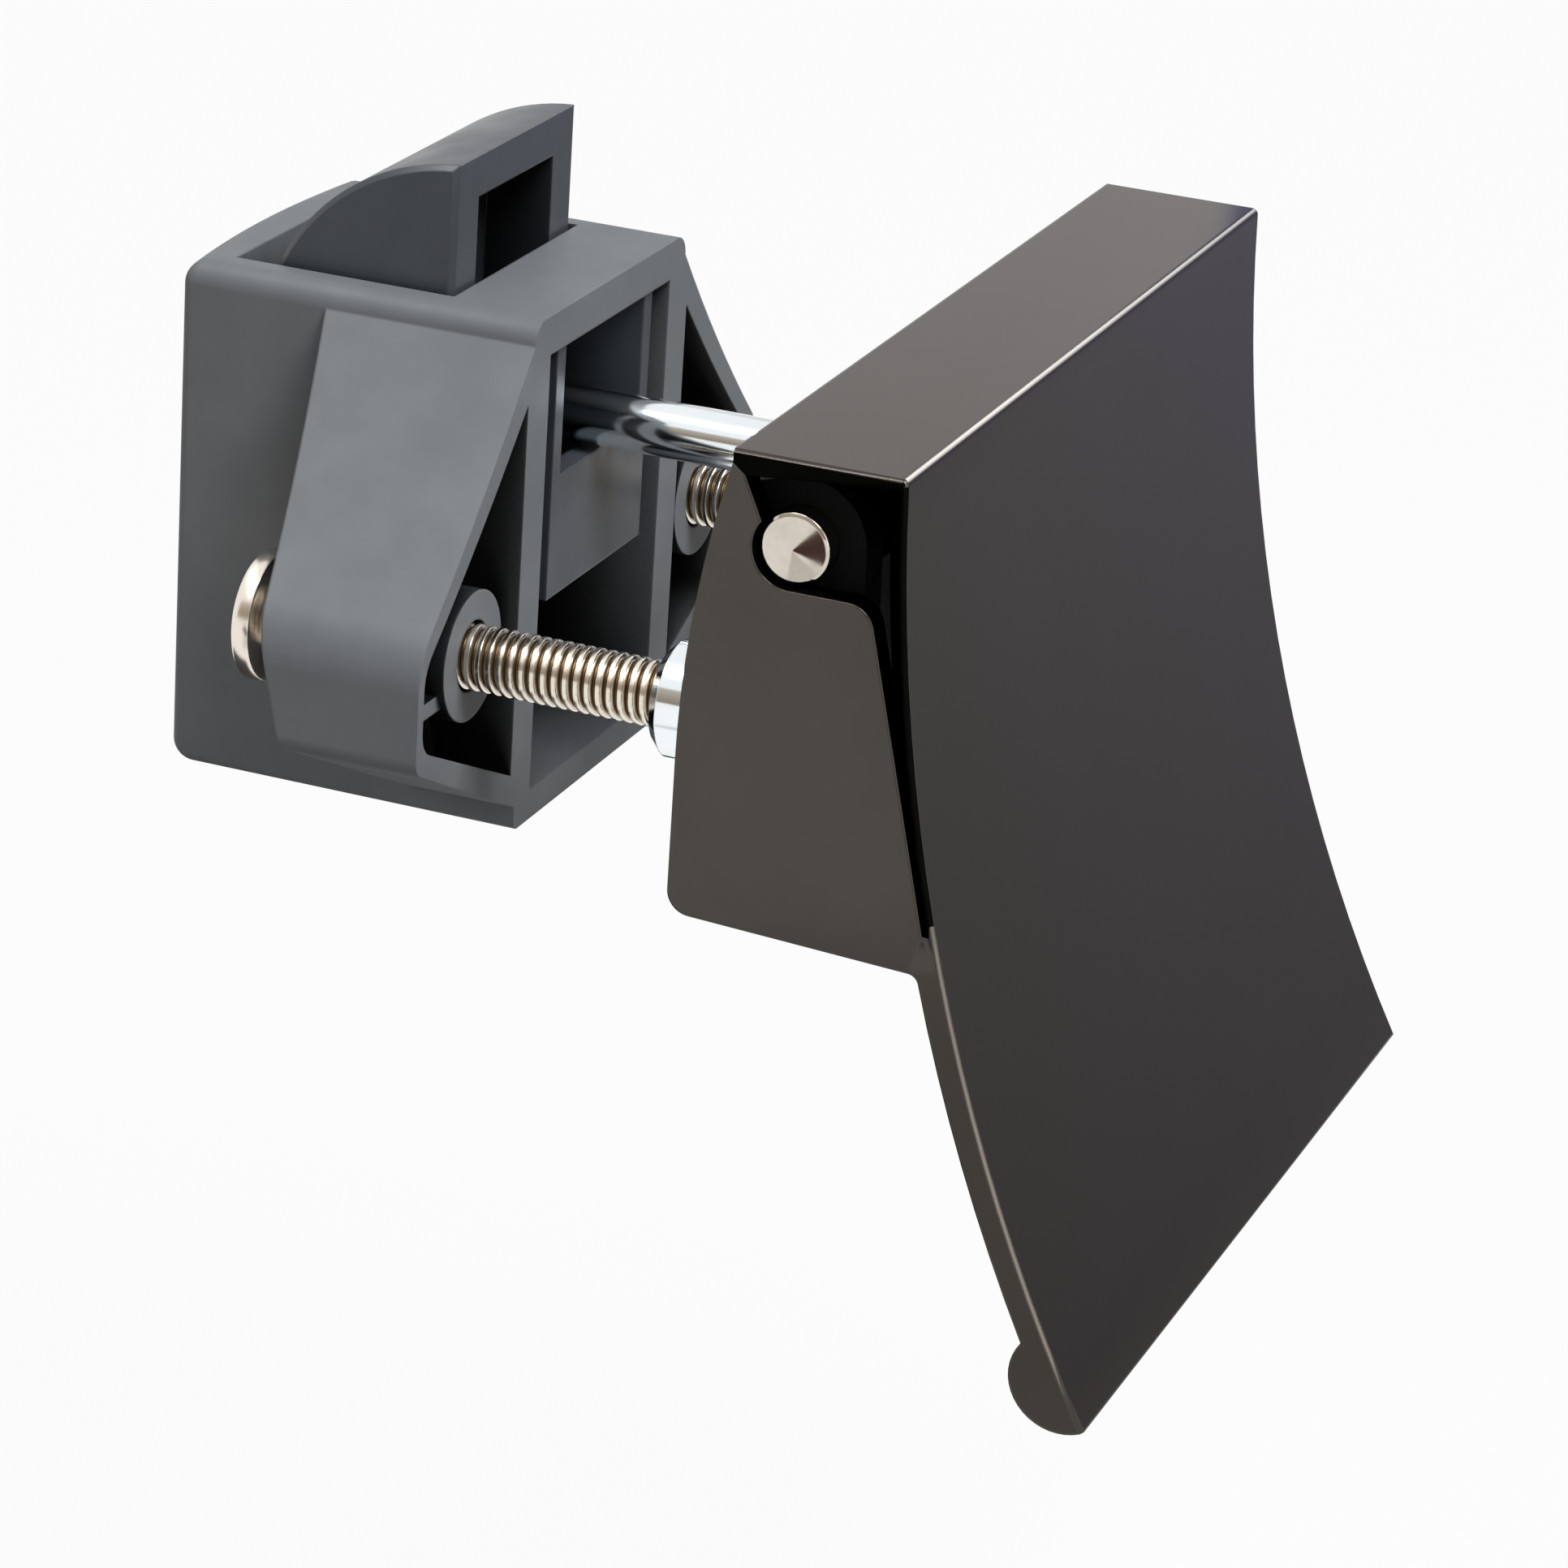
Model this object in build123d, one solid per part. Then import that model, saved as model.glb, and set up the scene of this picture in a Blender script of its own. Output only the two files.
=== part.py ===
from build123d import *
import os
from math import asin, atan2, cos, hypot, radians, sin, sqrt

# Slam latch for a cabinet door: a pull handle outside, a sprung bolt in a case inside, and two
# screws that clamp the door between them. All sizes are in millimetres.
# Frame: the door's outer face is Y = 0 and its inner face Y = door_thickness, X runs along the
# hinge pin, Z is up, and both screw axes lie at Z = 0.

# Door and screws
door_thickness = 18.0
screw_spacing = 34.5
thread_diameter = 4.0
head_diameter = 8.0
head_height = 2.8
head_dome = 1.3
head_crown = 0.6
head_stand_off = 3.5
thread_engagement = 5.8

# Fits
press_clearance = 0.01
running_clearance = 0.06
screw_clearance = 0.2
swing_gap = 0.35
slide_gap = 0.3
side_gap = 0.4

# Handle casting
handle_width = 62.6
handle_top = 20.7
handle_drop = 33.1
front_top_depth = 12.7
front_bottom_depth = 27.3
front_hollow = 3.4
front_wall = 1.5
front_lip_wall = 0.35
top_wall = 1.2
top_lip_wall = 0.6
top_back_gap = 2.6
corner_round = 0.4
edge_break = 0.2
bead_radius = 3.2

# Cheeks of the handle
cheek_wall = 1.6
cheek_door_gap = 0.25
cheek_relief = 2.4
cheek_flat_top = 2.0
cheek_drop = 7.0
cheek_fall = 0.7
cheek_corner_round = 1.4
cheek_root_round = 0.7
window_apex_gap = 0.4
window_corner_inset = 2.05
window_corner_round = 1.6
window_tip = 5.3
window_tip_width = 0.4
window_notch_angle = 37.0
window_pin_gap = 0.25

# Hinge
pin_diameter = 4.1
pin_depth = 6.3
pin_height = 15.5
pin_recess = 0.1
pin_chamfer = 0.3
hub_radius = 3.4
lug_width = 4.0
swing_angle = 16.0

# Tongue
tongue_diameter = 3.5
tongue_height = 10.0
tongue_reach = 7.0
tongue_socket = 7.4
tongue_chamfer = 0.6
tongue_boss_width = 9.0
tongue_boss_skirt = 1.4

# Base bracket and threaded posts
base_wall = 2.4
base_drop = 6.4
base_top = 10.6
base_ear_wall = 2.6
base_ear_depth = 10.4
base_ear_shoulder = 8.0
base_ear_top = 17.9
base_ear_relief = 1.5
base_slot_margin = 0.8
post_diameter = 7.0
post_length = 6.0
post_spigot_diameter = 5.6
post_chamfer = 0.6

# Lock case
case_top = 18.9
case_drop = 13.2
case_depth = 24.0
case_back_bow = 0.8
case_top_wall = 2.5
case_floor_wall = 1.9
case_back_wall = 3.2
channel_half_width = 9.0
channel_wall = 2.3
case_round = 1.4
case_corner_round = 0.7
ear_margin = 8.5
ear_bend_height = 2.4
ear_bend_round = 4.5
ear_heel_drop = 4.6
ear_heel_round = 1.2
ear_flare_hollow = 0.4
ear_root_rise = 1.6
ear_wall = 1.8
ear_tip_wall = 0.8
ear_hollow_round = 1.8
ear_back_wall = 2.8
ear_top_depth = 13.7
ear_taper = 0.22
boss_diameter = 8.0
boss_setback = 0.5
boss_rib = 1.0
boss_rib_drop = 1.4
seat_diameter = 9.6
seat_depth = 9.7
guide_rib_width = 1.4
guide_rib_height = 1.0
guide_rib_offset = 5.0
spring_peg_diameter = 3.6
spring_peg_height = 4.2

# Latch bolt
bolt_front_depth = 6.7
bolt_projection = 7.8
bolt_ramp_lead = 0.7
bolt_heel = 2.0
bolt_edge_break = 0.35
pocket_half_width = 5.4
pocket_depth = 4.3
pocket_roof = 2.6
pocket_floor = 6.5
frame_half_width = 7.1
frame_setback = 0.35
frame_wall = 1.2
frame_foot = 0.3
ledge_wall = 1.85
ledge_gap = 0.25
ledge_round = 0.6

# Bolt spring
spring_wire = 0.7
spring_diameter = 5.6
spring_turns = 6
spring_seat_height = 12.0
spring_gap = 0.05

# Places worked out from the sizes above
screw_x = screw_spacing / 2
half_width = handle_width / 2
chord = hypot(front_bottom_depth - front_top_depth, handle_top + handle_drop)
front_lean = atan2(front_bottom_depth - front_top_depth, handle_top + handle_drop)
front_radius = chord**2 / (8 * front_hollow) + front_hollow / 2
front_centre_y = -(front_top_depth + front_bottom_depth) / 2 - (front_radius - front_hollow) * cos(front_lean)
front_centre_z = (handle_top - handle_drop) / 2 + (front_radius - front_hollow) * sin(front_lean)
pin_y = -pin_depth
base_half_width = half_width - cheek_wall - swing_gap
base_ear_inner = base_half_width - base_ear_wall
lug_outer = base_ear_inner - swing_gap
base_eye_radius = handle_top - top_wall - pin_height - swing_gap
case_front = door_thickness
channel_outer = channel_half_width + channel_wall
case_floor = -case_drop + case_floor_wall
case_inner_back = case_front + case_depth - case_back_wall
ear_tip_x = screw_x + ear_margin
seat_y = case_front + seat_depth
bolt_front = case_front + bolt_front_depth
bolt_back = case_inner_back - guide_rib_height - slide_gap
bolt_ramp_radius = bolt_back - bolt_front + bolt_ramp_lead
bolt_top = case_top + bolt_projection
bolt_half_width = channel_half_width - side_gap
ledge_top = tongue_height - tongue_diameter / 2 - ledge_gap
spring_y = (bolt_front + pocket_depth + bolt_back) / 2


def block(x_span, y_span, z_span):
    """Box between two limits on each axis."""
    spans = (x_span, y_span, z_span)
    middle = [(low + high) / 2 for low, high in spans]
    size = [high - low for low, high in spans]
    return Pos(*middle) * Box(*size)


def along_x(face, x_low, x_high):
    """Extrude a (y, z) face between two X places."""
    plane = Plane(origin=(x_low, 0, 0), x_dir=(0, 1, 0), z_dir=(1, 0, 0))
    return extrude(plane * face, amount=x_high - x_low)


def along_y(face, y_low, y_high):
    """Extrude an (x, z) face between two Y places."""
    plane = Plane(origin=(0, y_low, 0), x_dir=(1, 0, 0), z_dir=(0, -1, 0))
    return extrude(plane * face, amount=y_high - y_low, dir=(0, 1, 0))


def along_z(face, z_low, z_high):
    """Extrude an (x, y) face between two heights."""
    return extrude(Plane.XY.offset(z_low) * face, amount=z_high - z_low)


def rod_x(radius, x_low, x_high, y, z):
    """Cylinder along X."""
    return along_x(Pos(y, z) * Circle(radius), x_low, x_high)


def rod_y(radius, y_low, y_high, x, z):
    """Cylinder along Y."""
    return along_y(Pos(x, z) * Circle(radius), y_low, y_high)


def both_sides(shape):
    """The shape and its mirror image across the middle plane."""
    return shape + mirror(shape, about=Plane.YZ)


def front_point(z, inset=0.0):
    """Point of the hollow front at a height, moved towards the door by the inset."""
    radius = front_radius + inset
    return (front_centre_y + sqrt(radius**2 - (z - front_centre_z) ** 2), z)


def front_arc(z_start, z_end, inset=0.0):
    """Arc of the hollow front between two heights."""
    heights = (z_start, (z_start + z_end) / 2, z_end)
    return ThreePointArc(*[front_point(z, inset) for z in heights])


def front_band(z_low, z_high, outer, inner):
    """Face between two insets of the hollow front."""
    return make_face(
        [
            front_arc(z_low, z_high, outer),
            Line(front_point(z_high, outer), front_point(z_high, inner)),
            front_arc(z_high, z_low, inner),
            Line(front_point(z_low, inner), front_point(z_low, outer)),
        ]
    )


def nearest_vertex(face, y, z):
    """The corner of a flat face closest to a point."""
    return face.vertices().sort_by_distance(Vector(y, z, 0))[0]


def handle_section():
    """Side view of the handle's front, top and finger bead."""
    top_front = front_top_depth - front_wall / 2
    top_middle = (-(top_front + top_back_gap) / 2, handle_top - top_wall / 2)
    top = Pos(*top_middle) * Rectangle(top_front - top_back_gap, top_wall)
    hood = front_band(-handle_drop, handle_top, 0, front_wall) + top
    hood = fillet(nearest_vertex(hood, -front_top_depth, handle_top), corner_round)
    foot_angle = asin((-handle_drop - front_centre_z) / front_radius)
    bead_angle = foot_angle + 2 * asin(bead_radius / (2 * front_radius))
    bead = Pos(*front_point(front_centre_z + front_radius * sin(bead_angle))) * Circle(bead_radius)
    front_space = front_band(-handle_drop - 2 * bead_radius, handle_top, -3 * bead_radius, 0)
    return hood + (bead - front_space)


def cheek_section():
    """Side view of one cheek, from the door to the middle of the front wall."""
    door_side = -cheek_door_gap
    top = handle_top - top_wall / 2
    heel = (door_side, -cheek_drop)
    shoulder = (door_side, cheek_flat_top)
    peak = (door_side - cheek_relief, top)
    toe = front_point(-cheek_drop - cheek_fall, front_wall / 2)
    cheek = make_face(
        [
            TangentArc(shoulder, peak, tangent=(0, 1)),
            Line(peak, front_point(top, front_wall / 2)),
            front_arc(top, toe[1], front_wall / 2),
            Line(toe, heel),
            Line(heel, shoulder),
        ]
    )
    return fillet(nearest_vertex(cheek, *heel), cheek_corner_round)


def window_section():
    """Side view of the opening in a cheek: a wedge behind the front and a notch round the pin."""
    ceiling = handle_top - top_lip_wall
    apex = (-top_back_gap - window_apex_gap, ceiling)
    tip = front_point(-window_tip, front_lip_wall)
    blunt_tip = front_point(-window_tip, front_lip_wall + window_tip_width)
    crown = front_point(ceiling, front_lip_wall)
    notch_radius = pin_diameter / 2 + window_pin_gap
    floor = pin_height - notch_radius
    floor_corner = front_point(floor, window_corner_inset)
    notch_top = radians(window_notch_angle)
    notch_side = radians((window_notch_angle - 90) / 2)
    notch_start = (pin_y + notch_radius * cos(notch_top), pin_height + notch_radius * sin(notch_top))
    notch_middle = (pin_y + notch_radius * cos(notch_side), pin_height + notch_radius * sin(notch_side))
    notch_end = (pin_y, floor)
    outline = make_face(
        [
            front_arc(tip[1], ceiling, front_lip_wall),
            Line(crown, apex),
            Line(apex, notch_start),
            ThreePointArc(notch_start, notch_middle, notch_end),
            Line(notch_end, floor_corner),
            Line(floor_corner, blunt_tip),
            Line(blunt_tip, tip),
        ]
    )
    return fillet(nearest_vertex(outline, *floor_corner), window_corner_round)


def is_outer_rim(edge):
    """Whether an edge runs along the hollow front or the top at the end of the handle."""
    start, middle, end = edge @ 0, edge @ 0.5, edge @ 1
    if min(start.X, middle.X, end.X) < half_width - edge_break / 2:
        return False
    inset = hypot(middle.Y - front_centre_y, middle.Z - front_centre_z) - front_radius
    return inset < 0.2 * front_wall or middle.Z > handle_top - 0.1 * corner_round


def handle_side():
    """End of the handle where a cheek closes it, with the window cut and the rims broken."""
    inner = half_width - cheek_wall
    side = along_x(handle_section() + cheek_section(), inner, half_width)
    root = Vector(inner + cheek_wall / 2, *front_point(-cheek_drop - cheek_fall, front_wall))
    side = fillet(side.edges().filter_by(Axis.X).sort_by_distance(root)[0], cheek_root_round)
    side = chamfer([edge for edge in side.edges() if is_outer_rim(edge)], edge_break)
    return side - along_x(window_section(), inner, half_width)


def pull_handle():
    """One casting: hollow front, top, two cheeks, finger bead, pin lugs and tongue boss."""
    inner = half_width - cheek_wall
    body = along_x(handle_section(), -inner, inner) + both_sides(handle_side())
    ceiling = handle_top - top_wall / 2
    lug_face = Pos(pin_y, pin_height) * Circle(hub_radius)
    lug_face += Pos(pin_y, (pin_height + ceiling) / 2) * Rectangle(2 * hub_radius, ceiling - pin_height)
    lug = along_x(lug_face, lug_outer - lug_width, lug_outer)
    boss_low = tongue_height - tongue_diameter / 2 - tongue_boss_skirt
    boss_front = front_point(pin_height, front_wall / 2)[0]
    boss_half = tongue_boss_width / 2
    boss = block((-boss_half, boss_half), (boss_front, pin_y + hub_radius), (boss_low, ceiling))
    body += both_sides(lug) + boss
    body -= rod_x(pin_diameter / 2 + running_clearance, -lug_outer, lug_outer, pin_y, pin_height)
    socket_radius = tongue_diameter / 2 + press_clearance
    socket_end = pin_y + hub_radius - tongue_socket
    return body - rod_y(socket_radius, socket_end, pin_y + hub_radius, 0, tongue_height)


def tongue():
    """Bright rod from the handle's boss through the door into the bolt's window."""
    start = pin_y + hub_radius - tongue_socket
    end = case_front + tongue_reach
    rod = rod_y(tongue_diameter / 2, start, end, 0, tongue_height)
    tip = rod.edges().filter_by(GeomType.CIRCLE).sort_by(Axis.Y)[-1]
    return chamfer(tip, tongue_chamfer)


def hinge_pin():
    """Steel pin, held in the bracket's ears, that the handle swings on."""
    reach = half_width - pin_recess
    pin = rod_x(pin_diameter / 2, -reach, reach, pin_y, pin_height)
    return chamfer(pin.edges().filter_by(GeomType.CIRCLE), pin_chamfer)


def base_bracket():
    """Black bracket on the door: a plate with two ears for the pin and holes for the posts."""
    plate = block((-base_ear_inner, base_ear_inner), (-base_wall, 0), (-base_drop, base_top))
    corners = [(-base_ear_depth, -base_drop), (0, -base_drop), (0, base_ear_shoulder),
               (-base_ear_relief, base_ear_top)]
    foot = Polyline(*corners, close=True)
    ear_eye = Pos(pin_y, pin_height) * Circle(base_eye_radius)
    ear_face = make_hull(foot.edges() + ear_eye.edges())
    body = plate + both_sides(along_x(ear_face, base_ear_inner, base_half_width))
    body -= rod_x(pin_diameter / 2 + press_clearance, -half_width, half_width, pin_y, pin_height)
    swing_fall = pin_depth * sin(radians(swing_angle))
    slot_half = tongue_diameter / 2 + base_slot_margin
    slot_low = tongue_height - slot_half - swing_fall
    body -= block((-slot_half, slot_half), (-base_wall, 0), (slot_low, base_top))
    spigot = rod_y(post_spigot_diameter / 2 + press_clearance, -base_wall, 0, screw_x, 0)
    return body - both_sides(spigot)


def threaded_post(x):
    """Bright bush that stands into the door and takes a screw."""
    post = rod_y(post_diameter / 2, 0, post_length, x, 0)
    rim = post.edges().filter_by(GeomType.CIRCLE).sort_by(Axis.Y)[-1]
    post = chamfer(rim, post_chamfer)
    post += rod_y(post_spigot_diameter / 2, -base_wall, 0, x, 0)
    return post - rod_y(thread_diameter / 2 + running_clearance, -base_wall, post_length, x, 0)


def screw(x):
    """Pan head machine screw, driven towards the handle, with its shank at the thread's crest."""
    under_head = seat_y + head_stand_off
    tip = post_length - thread_engagement
    radius = head_diameter / 2
    dome_radius = (radius**2 + head_dome**2) / (2 * head_dome)
    crown = head_crown * radius
    crown_height = head_height - dome_radius + sqrt(dome_radius**2 - crown**2)
    corners = [(0, 0), (radius, 0), (radius, head_height - head_dome), (crown, crown_height), (0, head_height)]
    turned = revolve(Plane.XZ * make_face(Polyline(*corners, close=True)), axis=Axis.Z)
    shank = rod_y(thread_diameter / 2, tip, under_head, x, 0)
    rim = shank.edges().filter_by(GeomType.CIRCLE).sort_by(Axis.Y)[0]
    shank = chamfer(rim, 0.15 * thread_diameter)
    return shank + Pos(x, under_head, 0) * Rot(-90, 0, 0) * turned


def ear_outline(reach=0.0, heel_round=ear_heel_round):
    """Front view of the right ear: a flare, an upright tip and an underside back to the channel."""
    tip_x = ear_tip_x + reach
    shoulder = (channel_outer, case_top - case_round)
    bend = (tip_x, ear_bend_height)
    heel = (tip_x, -ear_heel_drop)
    foot = (channel_outer, -case_drop + ear_root_rise)
    root_x = channel_outer - channel_wall / 2
    outline = make_face(
        [
            SagittaArc(shoulder, bend, -ear_flare_hollow),
            Line(bend, heel),
            Line(heel, foot),
            Polyline(foot, (root_x, foot[1]), (root_x, shoulder[1]), shoulder),
        ]
    )
    outline = fillet(nearest_vertex(outline, *bend), ear_bend_round)
    return fillet(nearest_vertex(outline, *heel), heel_round)


def ear_side(front, inset):
    """Side view of an ear: its depth lessens towards the bottom."""
    top = case_top + ear_margin
    bottom = -case_drop - ear_margin
    back = case_front + ear_top_depth - inset
    drop = case_top - case_round
    corners = [
        (front, bottom),
        (back - ear_taper * (drop - bottom), bottom),
        (back - ear_taper * (drop - top), top),
        (front, top),
    ]
    return make_face(Polyline(*corners, close=True))


def case_body():
    """Channel of the case: a box with a bowed back."""
    side = case_front + case_depth - case_back_bow
    plan = make_face(
        [
            Polyline((-channel_outer, side), (-channel_outer, case_front), (channel_outer, case_front),
                     (channel_outer, side)),
            ThreePointArc((channel_outer, side), (0, side + case_back_bow), (-channel_outer, side)),
        ]
    )
    body = along_z(plan, -case_drop, case_top)
    back = body.faces().sort_by(Axis.Y)[-1]
    body = fillet(back.edges().sort_by(Axis.Z)[0], case_round)
    body = fillet(body.edges().filter_by(Axis.Z).sort_by(Axis.Y)[-2:], case_corner_round)
    long_edges = body.edges().filter_by(Axis.Y)
    return fillet(long_edges.sort_by(Axis.Z)[-2:], case_round)


def lock_case():
    """Moulded case, open towards the door, with a bolt channel, two hollow ears and screw bosses."""
    far = case_front + 2 * case_depth
    ear = along_y(ear_outline(), case_front, far) & along_x(ear_side(case_front, 0), 0, 2 * ear_tip_x)
    hollow_face = offset(ear_outline(ear_wall - ear_tip_wall, ear_wall + ear_hollow_round), amount=-ear_wall)
    hollow = along_y(hollow_face, case_front, far) & along_x(ear_side(case_front, ear_back_wall), 0, 2 * ear_tip_x)
    hollow -= block((0, channel_outer), (case_front, far), (-2 * case_drop, 2 * case_top))
    boss = rod_y(boss_diameter / 2, case_front + boss_setback, seat_y, screw_x, 0)
    rib = block((screw_x, ear_tip_x), (case_front + 2 * boss_setback, seat_y),
                (-boss_rib_drop - boss_rib, -boss_rib_drop))
    fill = (boss + rib) & ear
    body = case_body() + both_sides(ear)
    body -= both_sides(hollow)
    body += both_sides(fill)
    seat = rod_y(seat_diameter / 2, seat_y, far, screw_x, 0) & along_y(ear_outline(), case_front, far)
    seat -= block((0, channel_outer), (case_front, far), (-2 * case_drop, 2 * case_top))
    body -= both_sides(seat)
    body -= both_sides(rod_y(thread_diameter / 2 + screw_clearance, case_front, seat_y, screw_x, 0))
    channel_top = case_top - case_top_wall
    span = (-channel_half_width, channel_half_width)
    body -= block(span, (case_front, case_inner_back), (case_floor, channel_top))
    body -= block(span, (bolt_front - slide_gap, case_inner_back), (channel_top, case_top))
    rib_low = guide_rib_offset - guide_rib_width / 2
    guide = block((rib_low, rib_low + guide_rib_width), (bolt_back + slide_gap, case_inner_back),
                  (case_floor, channel_top))
    body += both_sides(guide)
    peg = Pos(0, spring_y, case_floor) * Cylinder(
        spring_peg_diameter / 2, spring_peg_height, align=(Align.CENTER, Align.CENTER, Align.MIN)
    )
    return body + peg


def latch_bolt():
    """Moulded bolt: a ramped head with a pocket, and a front frame with the ledge for the tongue."""
    centre_y = bolt_back - bolt_ramp_radius
    centre_z = bolt_top - bolt_ramp_radius
    nose = centre_z + sqrt(bolt_ramp_radius**2 - (bolt_front - centre_y) ** 2)
    diagonal = bolt_ramp_radius * sqrt(0.5)
    section = make_face(
        [
            Polyline((bolt_back, centre_z), (bolt_back, bolt_heel), (bolt_front, bolt_heel), (bolt_front, nose)),
            ThreePointArc((bolt_front, nose), (centre_y + diagonal, centre_z + diagonal), (bolt_back, centre_z)),
        ]
    )
    body = along_x(section, -bolt_half_width, bolt_half_width)
    ends = body.faces().sort_by(Axis.X)
    body = chamfer(ends[0].edges() + ends[-1].edges(), bolt_edge_break)
    frame_top = case_top - case_top_wall - slide_gap
    frame_front = case_front + frame_setback
    frame = block((-frame_half_width, frame_half_width), (frame_front, bolt_front + frame_wall),
                  (frame_foot, frame_top))
    body += frame
    inner = frame_half_width - frame_wall
    body -= block((-inner, inner), (frame_front, bolt_front), (ledge_top, frame_top))
    body -= block((-inner, inner), (frame_front + ledge_wall, bolt_front), (frame_foot + frame_wall, ledge_top))
    body -= block((-pocket_half_width, pocket_half_width), (bolt_front, bolt_front + pocket_depth),
                  (pocket_floor, bolt_top - pocket_roof))
    ledge = [edge for edge in body.edges().filter_by(Axis.X)
             if abs(edge.center().Z - ledge_top) < 1e-6 and edge.center().Y > frame_front]
    body = fillet(ledge, ledge_round)
    bore_radius = spring_diameter / 2 + slide_gap
    bore = Pos(0, spring_y, bolt_heel) * Cylinder(
        bore_radius, spring_seat_height - bolt_heel, align=(Align.CENTER, Align.CENTER, Align.MIN)
    )
    return body - bore


def bolt_spring():
    """Compression spring between the case's floor and the bore of the bolt."""
    low = case_floor + spring_wire / 2 + spring_gap
    high = spring_seat_height - spring_wire / 2 - spring_gap
    pitch = (high - low) / spring_turns
    radius = (spring_diameter - spring_wire) / 2
    path = Pos(0, spring_y, low) * Helix(pitch, high - low, radius)
    start = Plane(origin=path @ 0, z_dir=path % 0)
    return sweep(start * RegularPolygon(spring_wire / 2, 4), path=path, is_frenet=True)


def build():
    """Every piece by its node name."""
    return {
        "lock_case": lock_case(),
        "latch_bolt": latch_bolt(),
        "bolt_spring": bolt_spring(),
        "left_screw": screw(-screw_x),
        "right_screw": screw(screw_x),
        "base_bracket": base_bracket(),
        "left_threaded_post": threaded_post(-screw_x),
        "right_threaded_post": threaded_post(screw_x),
        "hinge_pin": hinge_pin(),
        "pull_handle": pull_handle(),
        "tongue": tongue(),
    }


os.makedirs("parts", exist_ok=True)
for node, piece in build().items():
    export_step(piece, f"parts/{node}.step")
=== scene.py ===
"""Looks of a cabinet slam latch: its finishes, threaded screws, turned pin, spring and a plain studio."""

import logging
import math
from dataclasses import dataclass
from enum import Enum

import bmesh
import bpy
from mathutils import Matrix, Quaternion, Vector


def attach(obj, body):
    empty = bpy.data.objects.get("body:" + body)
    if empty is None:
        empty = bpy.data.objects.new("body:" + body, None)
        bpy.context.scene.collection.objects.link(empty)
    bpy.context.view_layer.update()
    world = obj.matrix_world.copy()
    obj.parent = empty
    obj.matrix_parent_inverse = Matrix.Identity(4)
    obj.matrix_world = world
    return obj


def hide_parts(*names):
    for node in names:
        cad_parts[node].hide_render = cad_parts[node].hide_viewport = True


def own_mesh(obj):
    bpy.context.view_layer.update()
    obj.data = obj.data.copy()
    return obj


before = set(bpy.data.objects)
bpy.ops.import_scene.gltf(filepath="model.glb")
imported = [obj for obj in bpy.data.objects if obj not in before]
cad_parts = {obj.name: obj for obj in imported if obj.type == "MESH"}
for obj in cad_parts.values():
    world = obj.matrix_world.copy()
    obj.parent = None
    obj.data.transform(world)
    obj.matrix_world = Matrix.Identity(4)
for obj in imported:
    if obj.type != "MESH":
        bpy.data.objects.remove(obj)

MM = 0.001
LOG = logging.getLogger("latch")

# Reach within which two points of a drawn shape become one
WELD_MM = 1e-4
# Steps round a turned piece
ROUND_STEPS = 72
# Sizes that the screws share with their plating
SCREW_AXIS_MM = 17.25
THREAD_ROOT_MM = 1.62
# Noise levels between which the patches of a finish change over
PATCH_LEVELS = (0.3, 0.7)
# Open share of the view at which the painted recess shade is darkest, and at which there is none
PAINTED_SHADE_LEVELS = (0.42, 0.72)
# Share of its colour that a surface keeps under the darkest painted shade, so that hollows look nearly black
PAINTED_SHADE_BLACK = 0.02


class Side(Enum):
    """The two sides of the latch, seen from in front of the door."""

    LEFT = -1
    RIGHT = 1

    @property
    def word(self) -> str:
        """Name of the side as the solids use it."""
        return self.name.lower()


class Lay(Enum):
    """Run of a surface's fine marks, as the stretch of its grain along X, Y and Z."""

    EVEN = (1.0, 1.0, 1.0)
    ALONG_Y = (1.0, 0.06, 1.0)


class Facing(Enum):
    """Direction that a card faces, seen from in front of the door."""

    LEFT = (-1, 0, 0)
    RIGHT = (1, 0, 0)
    UP = (0, 0, 1)


def linear(hex_colour: str) -> tuple[float, float, float, float]:
    """Turn an sRGB hex colour into linear light.

    Args:
        hex_colour: Six hex digits with a leading hash.

    Returns:
        Red, green, blue and an alpha of one.
    """
    channels = [int(hex_colour[i:i + 2], 16) / 255 for i in (1, 3, 5)]
    values = [c / 12.92 if c <= 0.04045 else ((c + 0.055) / 1.055) ** 2.4 for c in channels]
    return (*values, 1.0)


def add_node(tree: bpy.types.NodeTree, kind: str, links: dict | None = None, **settings) -> bpy.types.Node:
    """Add a shader node with its settings and input links.

    Args:
        tree: Node tree that takes the node.
        kind: Blender's type name of the node.
        links: Input name or index to the output socket or the value it takes.
        settings: Attributes of the node.

    Returns:
        The new node.
    """
    node = tree.nodes.new(kind)
    for name, value in settings.items():
        setattr(node, name, value)
    for name, value in (links or {}).items():
        if isinstance(value, bpy.types.NodeSocket):
            tree.links.new(value, node.inputs[name])
        else:
            node.inputs[name].default_value = value
    return node


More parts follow.
